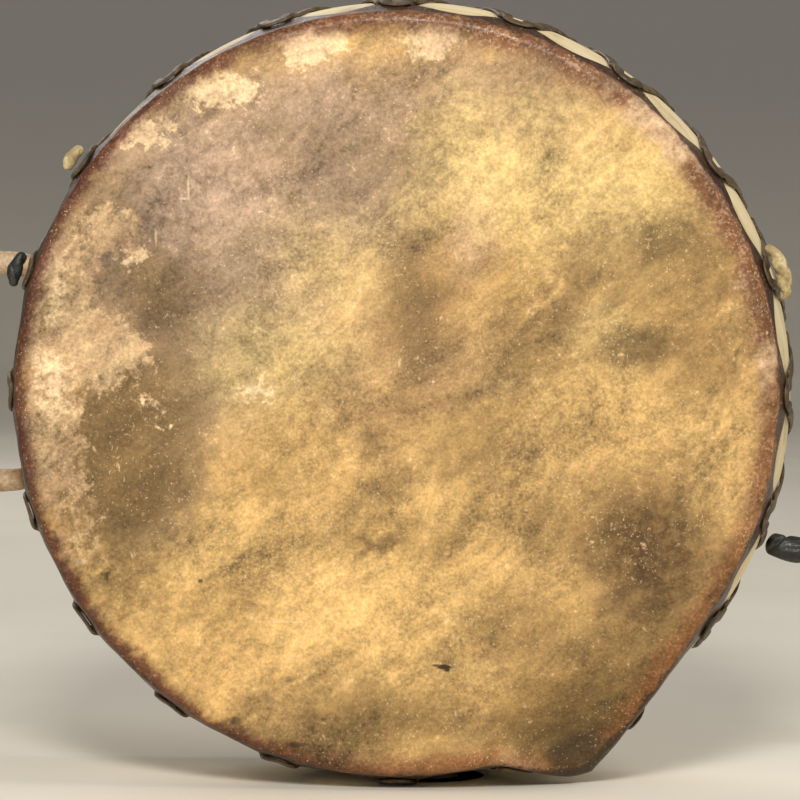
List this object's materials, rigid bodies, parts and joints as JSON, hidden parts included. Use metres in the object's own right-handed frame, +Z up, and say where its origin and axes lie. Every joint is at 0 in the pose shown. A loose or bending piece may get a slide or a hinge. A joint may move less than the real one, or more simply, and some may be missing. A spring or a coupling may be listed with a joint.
{
  "type": "ceremonial frame drum",
  "caption": "Round two-headed ritual drum with laced rawhide heads over a wooden shell, a rolled hide handle and a folded corner; stands on its rim.",
  "frame": {"origin": "on the pressed underside of the lacing, where the drum stands on the ground, halfway through its depth", "axes": "+Z up, the drum's axis along Y with the played head facing -Y, the carrying handle towards -X"},
  "size_m": [0.4718, 0.115, 0.4044],
  "materials": {
    "shell_wood": "pale bare wood",
    "head_hide": "mottled tan rawhide with a reddish rim",
    "lace_hide": "aged dark rawhide thong",
    "handle_hide": "pale rolled rawhide",
    "pale_hide": "pale twisted rawhide",
    "dark_leather": "black-green rolled leather"
  },
  "bodies": {
    "root": {"shell": "shell_wood", "head_front": "head_hide", "head_back": "head_hide", "lacing": "lace_hide", "carrying_handle": "handle_hide", "handle_knot": "dark_leather", "dark_tie": "dark_leather", "end_knot_right": "pale_hide", "end_knot_left": "pale_hide", "end_knot_top": "pale_hide"}
  },
  "joints": []
}
